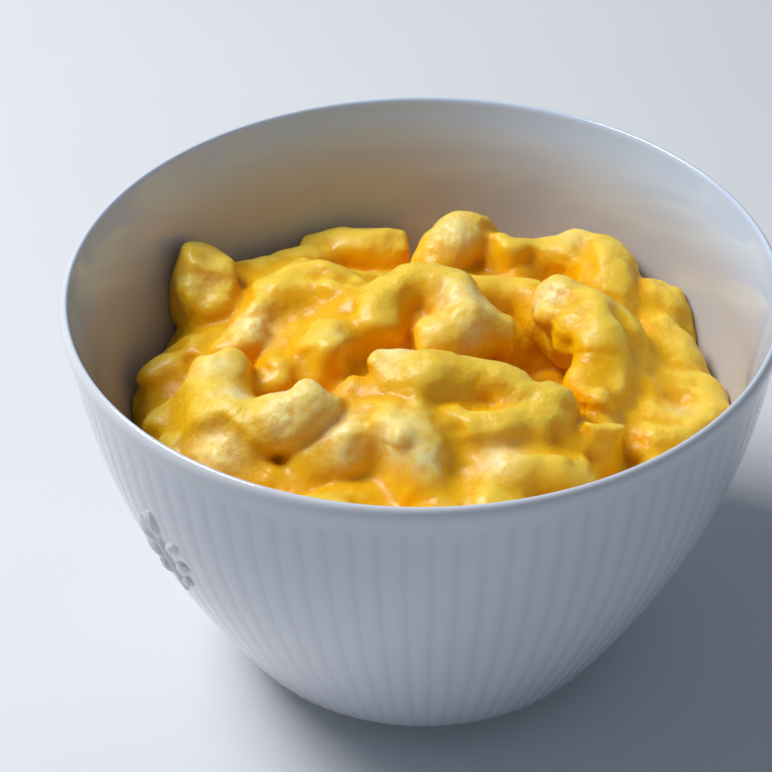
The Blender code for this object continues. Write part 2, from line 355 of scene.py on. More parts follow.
def leaf_rise(across, along):
    """Height of the sprig's leaves and stem over the wall, below zero off them."""
    stem = 0.55 - (across / 0.75) ** 2 - np.clip(np.abs(along + 1.0) - 8.5, 0, None)
    rise = np.clip(stem, -1, None)
    for middle, aside, heading, length, width in LEAVES:
        turn = math.radians(heading)
        run = (across - aside) * math.cos(turn) + (along - middle) * math.sin(turn)
        off = (along - middle) * math.cos(turn) - (across - aside) * math.sin(turn)
        taper = np.clip(1 - (2 * run / length) ** 2, 0.02, 1)
        blade = 1 - (2 * off / (width * taper)) ** 2
        rib = 0.3 * np.exp(-(off / 0.22) ** 2)
        rise = np.maximum(rise, np.where(np.abs(2 * run) < length, taper * blade - rib, -1))
    return np.clip(rise, -SPRIG_ROOT, None)


def sprig_body(material):
    """The sprig as a patch wrapped on the wall, its ground sunk just below the glaze."""
    across = np.arange(-SPRIG_WIDTH / 2, SPRIG_WIDTH / 2, SPRIG_STEP)
    along = np.arange(-SPRIG_LENGTH / 2, SPRIG_LENGTH / 2, SPRIG_STEP)
    wall, runs = cubic(RIM, RIM_PULL, BASE_PULL, BASE, np.linspace(0, 1, 80))
    height = SPRIG_HEIGHT + along
    radius = np.interp(height, wall[::-1, 1], wall[::-1, 0])
    out_run, down_run = (np.interp(height, wall[::-1, 1], runs[::-1, i]) for i in (0, 1))
    rise = SPRIG_RISE * leaf_rise(across[:, None], along[None, :])
    angle = math.radians(SPRIG_HEADING) + across[:, None] / radius
    wide = radius - down_run * rise
    points = np.stack([wide * np.cos(angle), wide * np.sin(angle), height + out_run * rise], axis=2)
    mesh = bpy.data.meshes.new("relief_sprig")
    rows = len(along)
    corners = [i * rows + j for i in range(len(across) - 1) for j in range(rows - 1)]
    mesh.from_pydata((points.reshape(-1, 3) * MM).tolist(), [],
                     [(c, c + rows, c + rows + 1, c + 1) for c in corners])
    mesh.shade_smooth()
    mesh.materials.append(material)
    made = new_object("relief_sprig", mesh)
    backing = made.modifiers.new("backing", "SOLIDIFY")
    backing.thickness = 0.3 * MM
    backing.offset = -1
    return apply_modifiers(made)


sprig = sprig_body(porcelain)
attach(sprig, "root")


# ---------------------------------------------------------------------------
# Packed core. Below the elbows that show, the bowl is full of the same pasta and sauce pressed
# together. It is one smooth body, a hair inside the bowl's wall and just under the top layer.
# ---------------------------------------------------------------------------
CORE_GAP = 0.15
CORE_TOP = 38.0
CORE_COLOUR = "#D99A1C"
CORE_SHADE = "#C07F10"


def core_profile():
    side = inner_wall(WALL + CORE_GAP, 26, 9)
    side = side[side[:, 1] < CORE_TOP]
    rings = [(side[0][0] * share, CORE_TOP) for share in (0.0, 0.5, 1.0)]
    return np.vstack([rings, side])


def packed_pasta():
    """Pressed pasta and sauce out of sight: even, matt and a deep golden colour."""
    material, tree, shader = new_material("packed_macaroni_and_sauce")
    where = add(tree, "ShaderNodeTexCoord")
    lumps = add(tree, "ShaderNodeTexVoronoi", {"feature": "SMOOTH_F1"},
                {"Vector": where.outputs["Object"], "Scale": 1 / (8 * MM)})
    tint = add(tree, "ShaderNodeMix", {"data_type": "RGBA"},
               {0: lumps.outputs["Distance"], 6: linear(CORE_COLOUR), 7: linear(CORE_SHADE)})
    tree.links.new(tint.outputs[2], shader.inputs["Base Color"])
    shader.inputs["Roughness"].default_value = 0.5
    relief = add(tree, "ShaderNodeBump", inputs={"Height": lumps.outputs["Distance"], "Strength": 0.6,
                                                 "Distance": 1.5 * MM})
    tree.links.new(relief.outputs[0], shader.inputs["Normal"])
    return material


core = turned("packed_core", core_profile(), 96)
core.data.materials.append(packed_pasta())
apply_modifiers(core)
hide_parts("mac_and_cheese")
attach(core, "root")


# ---------------------------------------------------------------------------
# Elbow macaroni. Extruded tubes of durum dough, cut short as they curl out of the die and
# boiled soft: about 26 mm along the curve, 6 mm across, with a wall of 1.3 mm. They lie where the
# spoon dropped them, so each has its own place and tilt.
# ---------------------------------------------------------------------------
ELBOW_LENGTH = 26.0
SAUCED_RADIUS = 4.5
COAT = 1.5
PASTA_WALL = 1.3
WANDER = 0.7
ELBOW_SAMPLES = 25
PASTA_PALE = "#F8E2A0"
PASTA_DEEP = "#F0C860"

# Each row: the middle's x, y and z, the heading of the run there, the lean up along it, the
# turn of the bend about it (0 flat, 90 arched with the ends down), the bend, and where they
# aren't the usual ones the length and the sauced radius.
ELBOWS = [
    # back, left to right
    (-39.5, 28.6, 51.5, -158, -77, 152, 17, 9.3, 5.1),
    (-36.8, 24.1, 48.9, -98, -78, -77, 37, 8.3, 5.6),
    (-33.5, 25, 37, -90, -78, 90, 30, 20, 4.6),
    (-26.0, 36.8, 47.5, 27, 0, 105, 25, 19.3),
    (-12.8, 43.6, 47.6, -4, 2, 130, 44, 18.0, 4.5),
    (6.5, 37.7, 55.1, 40, -6, 82, 213, 19.3, 4.9),
    (16.6, 30.5, 44.5, -90, -66, 90, 30, 20, 4.6),
    (24.4, 34.6, 51.9, 5, 7, 74, 153, 21.6, 4.2),
    (34.2, 23.9, 51.9, -86, -17, 88, 88, 19.4, 4.9),
    (42.2, 22.1, 49.8, -31, -15, 89, 117, 11.3, 3.8),
    # middle, left to right
    (-41, 19, 40, 80, 15, 50, 120),
    (-44.5, 8, 43, -110, -15, -170, 120),
    (-25.3, 22.0, 52.7, 36, 7, 12, 140, 25.7),
    (-24.5, 8, 49, -95, 0, -60, 40, 18, 3.8),
    (-15.5, 6.5, 52.0, 35, 8, 155, 38, 9.0, 3.6),
    (-0.3, 18.8, 58.0, 3, 3, 21, 195, 29.0, 4.2),
    (8.6, 8.6, 54.6, 13, -5, 102, 41, 12.9, 4.1),
    (18, 24, 50, -20, -5, 10, 110),
    (31.0, 8.0, 54.5, -71, -10, 42, 73, 24.9, 4.3),
    (33.3, 10.5, 53.0, -51, -10, 58, 88, 10.5, 3.8),
    (42.8, 13.5, 48.0, -61, -7, 67, 89, 17.5, 5.0),
    (45.2, 0.2, 46.5, -16, -10, 91, 135, 7.7, 4.3),
    (34.8, 0.2, 47.1, -96, -3, 145, 75, 18.2, 4.0),
    # front, left to right
    (-35.1, -5.5, 48.9, -22, 11, 26, 91, 17.4, 4.2),
    (-30.1, -12.3, 52.7, -39, 11, -163, 146, 28.9, 5.4),
    (-34.0, -15.5, 50.0, -25, 0, 66, 120, 14.0, 4.4),
    (3.7, -9.6, 58.4, -6, -4, 109, 50, 20.5, 5.0),
    (-14.2, -19.5, 52.3, 8, 34, 97, 60, 16.9, 4.6),
    (-0.7, -23.3, 51.4, -63, -38, 80, 33, 10.7, 5.2),
    (15.0, -17.6, 55.5, 25, -2, 148, 63, 17.5, 4.1),
    (17.9, -24.8, 50.4, 2, 0, 59, 117, 14.9, 4.4),
    (28.9, -18.2, 46.9, -86, -62, 98, 11, 13.1, 3.9),
    (44.0, -11.0, 47.5, 36, -4, 127, 61, 14.7, 4.2),
    # along the near wall, left to right
    (-38, -22, 44, 120, 0, 20, 110),
    (-21, -32, 48, -10, 5, 30, 100),
    (-21, -40, 44, 152, 0, 20, 90),
    (-4, -36, 46.5, 40, -5, -20, 110),
    (-2, -45, 43.5, 178, 0, 15, 90),
    (13, -35, 48.5, -25, 5, 70, 90),
    (18, -41, 44, -156, 0, 25, 90),
    (31, -32, 45, -145, 0, 20, 120),
    (40, -21, 43.5, -118, 0, 20, 100),
    # lower ones that fill between them
    (-18, 32, 46.5, 15, 0, 30, 100),
    (-3, 31, 46.5, -12, 0, 20, 80),
    (-12, 16, 49.5, 60, 0, 20, 110),
    (0, -1, 50, 10, 0, 90, 60),
    (-6, -17, 50.5, -12, 0, 40, 80),
    (9, 27, 46.5, -20, 0, 60, 80),
    (33, -9, 45.5, -50, 0, 20, 90),
    (-40, -5, 43, -80, 0, 30, 100),
    (-33, 12, 45, 20, 0, 60, 80),
    (-31, -31, 43.5, 140, 0, 10, 90),
    (-14, -29, 46.5, 25, 0, 60, 80),
    (5, -41, 43, 10, 0, 30, 90),
    (22, -33, 45.5, -15, 0, 50, 90),
    (37, 8, 45, 60, 0, 60, 90),
]


def warp(points):
    """A slow wander of space that bends soft pasta a little out of true."""
    waves = np.random.default_rng(11)
    moved = np.zeros_like(points)
    for _ in range(7):
        way = waves.normal(size=3)
        way *= math.tau / (waves.uniform(13, 24) * np.linalg.norm(way))
        push = waves.normal(size=3)
        push *= WANDER * 0.55 / np.linalg.norm(push)
        swing = np.sin(points @ way + waves.uniform(0, math.tau))
        moved += swing[:, None] * push
    return moved


def elbow_line(x, y, z, heading, lean, turn, bend, length=ELBOW_LENGTH, radius=SAUCED_RADIUS):
    """Points along one elbow's middle, and its sauced radius."""
    along = np.linspace(-length / 2, length / 2, ELBOW_SAMPLES)
    curl = length / math.radians(bend)
    tilt = Euler((math.radians(turn), math.radians(-lean), math.radians(heading)), "XYZ")
    arc = np.stack([curl * np.sin(along / curl), curl * np.cos(along / curl) - curl, 0 * along], 1)
    line = arc @ np.array(tilt.to_matrix()).T + np.array([x, y, z])
    return line + warp(line), radius


def elbow_runs(lines):
    """All the middle lines as one mesh of open runs, each point with its tube's radius."""
    mesh = bpy.data.meshes.new("elbow_macaroni")
    points = np.vstack([line for line, _ in lines]) * MM
    runs = [(i, i + 1) for i in range(len(points) - 1) if (i + 1) % ELBOW_SAMPLES]
    mesh.from_pydata(points.tolist(), runs, [])
    tube = mesh.attributes.new("tube_radius", "FLOAT", "POINT")
    sizes = np.repeat([(radius - COAT) * MM for _, radius in lines], ELBOW_SAMPLES)
    tube.data.foreach_set("value", sizes)
    return new_object("elbow_macaroni", mesh)


def sweep_tree(material):
    """Sweeps a round tube along each run, as wide as the radius stored on its points."""
    tree, given, out = geometry_tree("swept_elbows", ["Sides"])
    runs = add(tree, "GeometryNodeMeshToCurve", inputs={"Mesh": given.outputs["Geometry"]})
    ring = add(tree, "GeometryNodeCurvePrimitiveCircle",
               inputs={"Resolution": given.outputs["Sides"], "Radius": 1.0})
    wide = add(tree, "GeometryNodeInputNamedAttribute", {"data_type": "FLOAT"}, {"Name": "tube_radius"})
    tubes = add(tree, "GeometryNodeCurveToMesh",
                inputs={"Curve": runs.outputs[0], "Profile Curve": ring.outputs[0],
                        "Scale": wide.outputs[0]})
    smooth = add(tree, "GeometryNodeSetShadeSmooth", inputs={"Geometry": tubes.outputs[0]})
    whole = add(tree, "GeometryNodeRealizeInstances", inputs={"Geometry": smooth.outputs[0]})
    dressed = add(tree, "GeometryNodeSetMaterial",
                  inputs={"Geometry": whole.outputs[0], "Material": material})
    tree.links.new(dressed.outputs[0], out.inputs[0])
    return tree


def boiled_pasta():
    """Boiled durum pasta: pale translucent yellow, a satin skin with a faint soft unevenness."""
    material, tree, shader = new_material("durum_pasta_boiled")
    shader.inputs["Subsurface Weight"].default_value = 0.6
    shader.inputs["Subsurface Radius"].default_value = (1.0, 0.6, 0.25)
    shader.inputs["Subsurface Scale"].default_value = 2.0 * MM
    shader.inputs["IOR"].default_value = 1.4
    where = add(tree, "ShaderNodeTexCoord")
    cloud = add(tree, "ShaderNodeTexNoise",
                inputs={"Vector": where.outputs["Object"], "Scale": 1 / (5 * MM), "Detail": 3.0})
    tint = add(tree, "ShaderNodeMix", {"data_type": "RGBA"},
               {0: cloud.outputs[0], 6: linear(PASTA_PALE), 7: linear(PASTA_DEEP)})
    tree.links.new(tint.outputs[2], shader.inputs["Base Color"])
    gloss = add(tree, "ShaderNodeMapRange",
                inputs={"Value": cloud.outputs[0], "To Min": 0.3, "To Max": 0.5})
    tree.links.new(gloss.outputs[0], shader.inputs["Roughness"])
    relief = add(tree, "ShaderNodeBump",
                 inputs={"Height": cloud.outputs[0], "Strength": 0.5, "Distance": 0.2 * MM})
    tree.links.new(relief.outputs[0], shader.inputs["Normal"])
    return material


lines = [elbow_line(*row) for row in ELBOWS]
elbows = elbow_runs(lines)
use_tree(elbows, sweep_tree(boiled_pasta()), {"Sides": 16})
tube_wall = elbows.modifiers.new("tube_wall", "SOLIDIFY")
tube_wall.thickness = PASTA_WALL * MM
tube_wall.offset = -1
apply_modifiers(elbows)
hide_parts("mac_and_cheese")
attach(elbows, "root")


# ---------------------------------------------------------------------------
# Cheese sauce. A thick melted-cheese sauce folded through hot pasta. It coats every elbow,
# bridges the ones that touch, pools between them, and sets with small lumps where it cools.
# It is worked out as one soft body: tubes and a bed of sauce that flow into each other.
# ---------------------------------------------------------------------------
VOXEL = 0.54
FIELD_LOW = np.array([-54.0, -54.0, CORE_TOP - 1.0])
FIELD_HIGH = np.array([54.0, 54.0, 67.0])
FIELD_SHAPE = np.ceil((FIELD_HIGH - FIELD_LOW) / VOXEL).astype(int)
WALL_GAP = 0.08
BED_SINK = 1.8
BED_BLUR = 6.0
BED_LOWEST = 41.0
TIGHT_BLEND = 0.55
LOOSE_BLEND = 1.8
LOOSE_SINK = 0.35
BLEND_REACH = 6.5
# The least sauce over bare pasta.
FILM = 0.3
FILM_BLEND = 0.3
# Unevenness of the sauce: each sort's depth, the size of its lumps and its seed.
FLOW = (0.45, 9.0, 3)
SWELLS = (0.4, 6.0, 5)
RIPPLES = (0.19, 2.8, 7)
FOLDS = (0.25, 7.5, 9)
FOLD_WIDTH = 0.4
GRAINY_PLACES = (0.6, 9.0, 15)
GRAINS = (0.16, 1.7, 17)
FINE_GRAINS = (0.07, 1.4, 21)
END_DOME = 2.4
END_EDGE = 2.2
CUT_DOME = 0.2
CUT_EDGE = 1.1
# Where an elbow's cut end still shows through its coat: the tip's x, y and z.
CUT_TIPS = [(-20.8, 44.0, 46.8), (7.5, -17.0, 54.3), (29.3, -12.8, 52.5), (48.0, -0.5, 44.5),
            (14.5, 9.5, 53.5)]
CUT_NEAR = 4.0
# Painted highlights: spots where the sauce is painted a paler, creamy white where highlights fall: x, y,
# z and radius.
CREAMY_HIGHLIGHTS = [
    (-19.7, -13.9, 58, 6), (-22.6, -17.3, 57, 4), (7.6, 11.7, 58, 5), (6.7, 35.9, 57, 4),
    (-28.5, 12.4, 54, 4.5), (-34.5, -2.7, 56, 3.5), (-30.9, -10.5, 56, 3.5), (-3.8, -23.0, 57, 4.5),
    (-33.1, -18.8, 51, 4.5), (-12.9, -24.0, 56, 3.5), (12.2, -25.3, 54, 3.5), (-4.5, -5.9, 61, 3.5),
    (22.7, 15.8, 56, 4), (-15.4, 4.1, 56, 2.5), (-38.1, 26.9, 53, 4), (3.1, 7.0, 56, 3),
    (8.2, 6.6, 57, 3), (29.1, 11.5, 56, 2.5), (42.9, -7.7, 48, 3), (-36.9, -4.9, 51, 2.5),
    (28.5, 36.4, 54, 3), (-14.0, -18.5, 57, 3.5), (0.0, -26.5, 56, 3),
]
# A thread of sauce drawn between two elbows: its ends and radius.
THREAD = ((3.0, -17.1, 57.0), (3.4, -23.0, 54.5), 0.8)
# Painted highlight colour, used at the listed highlight spots.
SAUCE_CREAM_HIGHLIGHT = "#FEEFB8"
# Painted top light: the paler colour for upturned faces and crests.
SAUCE_PALE_LIT = "#F1CC48"
SAUCE_MID = "#EAB414"
# Painted shade: the colour for faces that turn to the side.
SAUCE_SIDE_SHADE = "#F2BC08"
# Painted shade: the deeper orange for crevices.
SAUCE_CREVICE_SHADE = "#EBA800"

# Set lumps of cheese: each one's x, y, z and radius.
CURDS = [
    (-15.7, 7.9, 53.5, 2.9), (-20.6, 12.0, 51.5, 2.6), (-25.1, 4.8, 51.0, 2.4), (-17.4, 1.5, 51.5, 2.3),
    (-13.1, 14.3, 54.5, 2.2), (23.3, 14.8, 54.5, 3.0), (24.8, 8.8, 53.5, 2.4), (28.9, 3.8, 54.0, 2.6),
    (30.5, 1.0, 51.5, 2.2), (35.6, 8.3, 52.5, 2.6), (-32.6, 9.8, 50.5, 2.2), (-10.8, -8.5, 56.5, 2.0),
    (-25.0, 2.1, 53, 1.6), (19.9, -14.5, 56.5, 2.0), (3.7, -19.3, 55.5, 1.9), (5.0, -17.3, 57, 1.4),
    (2.8, 6.4, 56, 2.4), (7.1, 13.4, 58.5, 2.2), (8.3, 9.4, 57.5, 2.0), (22.8, 17.9, 56, 2.5),
    (22.0, 12.5, 55, 2.3), (29.2, 11.4, 56.5, 2.2), (35.0, 7.9, 54, 2.2), (27.4, -3.0, 51.5, 2.2),
    (15.2, 36.0, 55, 1.0), (-20.5, 33.1, 50.5, 1.5), (-14.9, 20.0, 54.5, 1.8), (-11.9, 15.3, 55, 1.6),
    (-15.4, 2.7, 57, 1.5), (-28.5, 12.4, 54, 2.0), (-35.0, -0.4, 55.5, 2.0), (-17.4, -21.8, 51, 1.9),
    (-3.8, -23.2, 58, 2.2), (-6.6, -19.4, 57.5, 1.7), (1.0, -22.9, 56, 2.0), (-36.8, -5.6, 51.5, 1.9),
    (-32.0, -20.4, 51, 2.2), (-29.3, -21.7, 49.5, 1.8), (37.0, -13.1, 48, 1.5), (-43.2, 9.0, 48.2, 1.7),
    (-46.2, 8.2, 46.6, 1.7), (-40.6, 11.0, 49.2, 1.6), (-39.4, 14.8, 48, 1.8), (28.0, 37.1, 54, 1.8),
    (40.0, 24.1, 52, 1.8), (29.0, -10.1, 54, 2.0), (22.6, -17.6, 51.5, 2.6),
]

# Where a crease parts two elbows: from x, y, z to x, y, z, its spread and its depth.
CREASES = [
    (7.9, -16.5, 59.0, 15.4, -16.8, 59.7, 1.0, 0.9), (15.4, -16.8, 59.7, 19.2, -14.5, 60.9, 1.1, 1.2),
    (-32.1, 34.6, 52.4, -31.1, 20.7, 54.3, 1.3, 1.8), (-38.8, 24.8, 57.1, -33.0, 24.4, 55.8, 1.0, 0.5),
    (-43.0, 13.3, 50.0, -35.5, 2.0, 57.6, 1.4, 1.5), (-21.0, 23.6, 58.0, -13.0, 22.4, 57.9, 1.2, 1.0),
    (-13.0, 22.4, 57.9, -3.9, 18.6, 61.8, 1.2, 1.0), (-24.8, 15.1, 54.0, -13.0, 11.9, 57.9, 1.8, 1.2),
    (-26.9, -0.6, 54.3, -22.2, -12.9, 60.3, 1.5, 1.2), (-20.5, 1.3, 55.2, -20.0, 0.1, 54.5, 1.2, 1.4),
    (-11.1, 4.3, 53.5, -9.2, -11.0, 60.3, 1.5, 1.4), (-39.4, -16.2, 52.1, -33.5, -17.9, 55.7, 1.4, 2.2),
    (-33.5, -17.9, 55.7, -31.0, -20.4, 54.9, 1.4, 2.2),
    (-31.0, -20.4, 54.9, -28.6, -22.9, 52.4, 1.4, 2.2), (-39.9, 9.0, 50.0, -39.0, 7.4, 50.1, 0.9, 1.2),
    (-24.2, -22.5, 52.8, -20.8, -27.8, 51.9, 2.0, 0.8),
    (-9.6, -22.4, 55.0, -6.4, -27.9, 51.5, 1.8, 1.4), (4.2, -22.1, 57.6, 5.1, -26.3, 54.3, 1.4, 1.5),
    (5.1, -26.3, 54.3, 5.5, -34.2, 54.2, 1.6, 1.6), (7.1, -23.6, 56.0, 15.0, -23.8, 56.5, 1.2, 1.4),
    (15.0, -23.8, 56.5, 23.4, -23.1, 54.6, 1.2, 1.4), (24.8, -16.1, 55.0, 24.3, -26.1, 54.4, 1.1, 0.9),
    (33.7, -13.3, 52.6, 32.7, -19.6, 49.9, 1.6, 2.0), (34.3, -10.3, 51.9, 42.1, -12.1, 51.5, 1.2, 1.4),
    (39.4, 0.9, 51.9, 45.6, -0.5, 50.8, 1.2, 1.2), (33.5, 9.2, 59.2, 36.9, 2.8, 55.1, 1.2, 1.4),
    (36.9, 2.8, 55.1, 36.6, -4.0, 52.3, 1.4, 1.7), (36.6, -4.0, 52.3, 33.7, -13.3, 52.6, 1.4, 1.7),
    (21.7, 16.3, 58.2, 26.4, 11.8, 59.4, 1.2, 1.0), (20.7, 10.7, 53.9, 24.5, 4.9, 54.8, 1.3, 1.0),
    (29.7, 33.6, 56.4, 30.2, 25.6, 56.4, 1.2, 1.2), (20.7, 32.5, 54.0, 23.0, 31.2, 51.9, 1.2, 1.2),
    (12.7, 34.0, 55.7, 14.3, 30.9, 52.7, 1.2, 1.4),
]

# Where the sauce stands lower or higher than around it: x, y, radius and rise.
LEVELS = [
    (23.3, 10.5, 6, -13), (-21.4, -16.7, 4, -6), (-25.9, 0.4, 2.5, -3), (-3.9, -5.7, 4, 1),
    (9.0, -14.5, 4, 2.5), (26.0, -18.5, 3, 3), (-24.2, -22.0, 2.5, 2.5), (18.0, -21.0, 5, -2.5),
    (-9.1, -20.3, 4.5, -4), (-22.0, 3.0, 2, -3), (-48.0, 27.0, 3, -6), (-1.0, 14.0, 5, 2.5),
    (-20.0, 26.0, 6, 1.5), (-13.0, 12.0, 5, 1.0), (-20.0, 19.0, 3.5, 2.0), (12.0, 23.0, 6, 2),
    (-41.0, 16.0, 5, 1.5), (-22.0, 33.0, 5, 1.5), (-32.5, 33.5, 2.5, -5), (-18.0, 31.0, 6, 2.5),
    (-8.0, 31.0, 6, 2.5),
]


def grid_axes(low, high):
    """Open grid coordinates in mm for the voxels from low up to high."""
    return np.ogrid[tuple(slice(a, b) for a, b in zip(low, high))]


def lumps(size, seed):
    """Smooth random lumps of about the given size over the field, with a spread of 1."""
    tables = []
    for count in FIELD_SHAPE:
        place = np.arange(count) * VOXEL / size
        base = np.floor(place).astype(int)
        part = place - base
        table = np.zeros((count, base[-1] + 4), np.float32)
        shares = ((1 - part) ** 3, 3 * part**3 - 6 * part**2 + 4,
                  -3 * part**3 + 3 * part**2 + 3 * part + 1, part**3)
        for step, share in enumerate(shares):
            table[np.arange(count), base + step] = share / 6
        tables.append(table)
    knots = np.random.default_rng(seed).normal(size=[t.shape[1] for t in tables]).astype(np.float32)
    field = np.einsum("xi,ijk->xjk", tables[0], knots)
    field = np.einsum("yj,xjk->xyk", tables[1], field, optimize=True)
    field = np.einsum("zk,xyk->xyz", tables[2], field, optimize=True)
    return field / field.std()


def uneven(sort):
    """Random lumps of one sort, in mm."""
    depth, size, seed = sort
    return depth * lumps(size, seed)


def blurred(field, size):
    """The field averaged over a soft ball of the given spread."""
    for axis, count in enumerate(FIELD_SHAPE):
        apart = (np.arange(count)[:, None] - np.arange(count)) * VOXEL / size
        bell = np.exp(-0.5 * apart**2)
        bell = (bell / bell.sum(axis=1, keepdims=True)).astype(np.float32)
        field = np.moveaxis(np.tensordot(bell, field, axes=(1, axis)), 0, axis)
    return field


def smooth_max(a, b, size):
    """The larger of two fields, rounded where they cross."""
    mix = np.clip(0.5 + (a - b) / (2 * size), 0, 1)
    return b + (a - b) * mix + size * mix * (1 - mix)


def run_gap(x, y, z, start, end):
    """Squared distance from each spot to a straight run."""
    run = end - start
    dx, dy, dz = x - start[0], y - start[1], z - start[2]
    share = np.clip((dx * run[0] + dy * run[1] + dz * run[2]) / (run @ run), 0, 1)
    return (dx - share * run[0]) ** 2 + (dy - share * run[1]) ** 2 + (dz - share * run[2]) ** 2


def tube_gap(x, y, z, line, radius):
    """Distance from each spot to a tube with rounded ends, flatter where the cut shows."""
    gap = np.full(np.broadcast_shapes(x.shape, y.shape, z.shape), np.inf, np.float32)
    for start, end in zip(line[:-1:2], line[2::2]):
        gap = np.minimum(gap, run_gap(x, y, z, start, end))
    gap = np.sqrt(gap) - radius
    for tip, before in ((line[0], line[1]), (line[-1], line[-2])):
        cut = min(np.linalg.norm(tip - spot) for spot in CUT_TIPS) < CUT_NEAR
        dome, edge = (CUT_DOME, CUT_EDGE) if cut else (END_DOME, END_EDGE)
        way = (tip - before) / np.linalg.norm(tip - before)
        dx, dy, dz = x - tip[0], y - tip[1], z - tip[2]
        past = dx * way[0] + dy * way[1] + dz * way[2] - dome
        off = np.sqrt(dx**2 + dy**2 + dz**2)
        past = past - 2 * np.clip(off - 1.3 * radius, 0, None)
        gap = smooth_max(gap, past, edge)
    return gap.astype(np.float32)


def sauce_level(bare):
    """How high the sauce stands in each column: a blurred top of the elbows, sunk a little."""
    tops = FIELD_LOW[2] + VOXEL * (FIELD_SHAPE[2] - 1 - np.argmax(bare[:, :, ::-1] < 0, axis=2))
    tops = np.where((bare < 0).any(axis=2), tops, BED_LOWEST)
    half = int(2.5 * BED_BLUR / VOXEL)
    bell = np.exp(-0.5 * (np.arange(-half, half + 1) * VOXEL / BED_BLUR) ** 2)
    for axis in (0, 1):
        tops = np.apply_along_axis(np.convolve, axis, tops, bell / bell.sum(), "same")
    x, y = (start + VOXEL * steps for start, steps in zip(FIELD_LOW, grid_axes((0, 0), FIELD_SHAPE[:2])))
    for across, along, radius, rise in LEVELS:
        tops = tops + rise * np.exp(-((x - across) ** 2 + (y - along) ** 2) / (1.2 * radius) ** 2)
    return np.clip(tops - BED_SINK, BED_LOWEST, None)[:, :, None].astype(np.float32)


def sauce_field():
    """The sauce's outside as a signed distance on a grid, and the distance to the bare tubes."""
    tight = np.zeros(FIELD_SHAPE, np.float32)
    loose = np.zeros(FIELD_SHAPE, np.float32)
    bare = np.full(FIELD_SHAPE, 9.0, np.float32)
    for line, radius in lines:
        margin = radius + BLEND_REACH
        low = np.clip(((line.min(0) - margin - FIELD_LOW) / VOXEL).astype(int), 0, FIELD_SHAPE)
        high = np.clip(((line.max(0) + margin - FIELD_LOW) / VOXEL).astype(int) + 1, 0, FIELD_SHAPE)
        part = tuple(slice(a, b) for a, b in zip(low, high))
        x, y, z = (start + VOXEL * steps.astype(np.float32)
                   for start, steps in zip(FIELD_LOW, grid_axes(low, high)))
        gap = tube_gap(x, y, z, line, radius)
        bare[part] = np.minimum(bare[part], gap)
        for total, blend in ((tight, TIGHT_BLEND), (loose, LOOSE_BLEND)):
            total[part] += np.clip(np.exp(-gap / blend) - math.exp(-BLEND_REACH / blend), 0, None)
    x, y, z = (start + VOXEL * steps.astype(np.float32)
               for start, steps in zip(FIELD_LOW, grid_axes((0, 0, 0), FIELD_SHAPE)))
    reach = np.hypot(x, y)
    bed = z - sauce_level(bare)
    for across, along, up, radius in CURDS:
        gap = np.sqrt((x - across) ** 2 + (y - along) ** 2 + (z - up) ** 2) - radius
        tight += np.exp(-np.clip(gap, None, 9) / TIGHT_BLEND)
        loose += np.exp(-gap / LOOSE_BLEND)
    start, end, radius = THREAD
    tight += np.exp((radius - np.sqrt(run_gap(x, y, z, np.array(start), np.array(end)))) / TIGHT_BLEND)
    tight = -TIGHT_BLEND * np.log(tight + np.exp(-bed / TIGHT_BLEND) + 1e-9)
    loose = -LOOSE_BLEND * np.log(loose + np.exp(-bed / LOOSE_BLEND) + 1e-9)
    flow = np.clip(FLOW[0] + uneven(FLOW), 0, 1)
    field = tight + (loose + LOOSE_SINK - tight) * flow
    field = field - uneven(SWELLS) - uneven(RIPPLES)
    depth, *fold = FOLDS
    field = field + depth * np.clip(1 - np.abs(lumps(*fold)) / FOLD_WIDTH, 0, 1) ** 2
    field = field - np.clip(0.5 + uneven(GRAINY_PLACES), 0, 1) * uneven(GRAINS)
    field = field - uneven(FINE_GRAINS)
    for *ends, spread, depth in CREASES:
        near = run_gap(x, y, z, np.array(ends[:3]), np.array(ends[3:]))
        field = field + depth * np.exp(-near / (1.3 * spread) ** 2)
    field = -smooth_max(-field, FILM - COAT - bare, FILM_BLEND)
    side = inner_wall(WALL + WALL_GAP, 60, 9)[::-1]
    wide = np.interp(z.ravel(), side[:, 1], side[:, 0])[None, None, :]
    slope = np.gradient(wide.ravel(), VOXEL)[None, None, :]
    field = np.maximum(field, (reach - wide) / np.sqrt(1 + slope**2))
    field = np.maximum(field, CORE_TOP + 0.1 - z)
    return field.astype(np.float32), bare


def sample(field, spots):
    """The field's value at each spot, between its voxels."""
    place = np.clip((spots - FIELD_LOW) / VOXEL, 0, FIELD_SHAPE - 1.001)
    base = place.astype(int)
    part = place - base
    total = np.zeros(len(spots))
    for corner in range(8):
        step = np.array([corner >> 2 & 1, corner >> 1 & 1, corner & 1])
        share = np.prod(np.where(step, part, 1 - part), axis=1)
        total += share * field[tuple((base + step).T)]
    return total


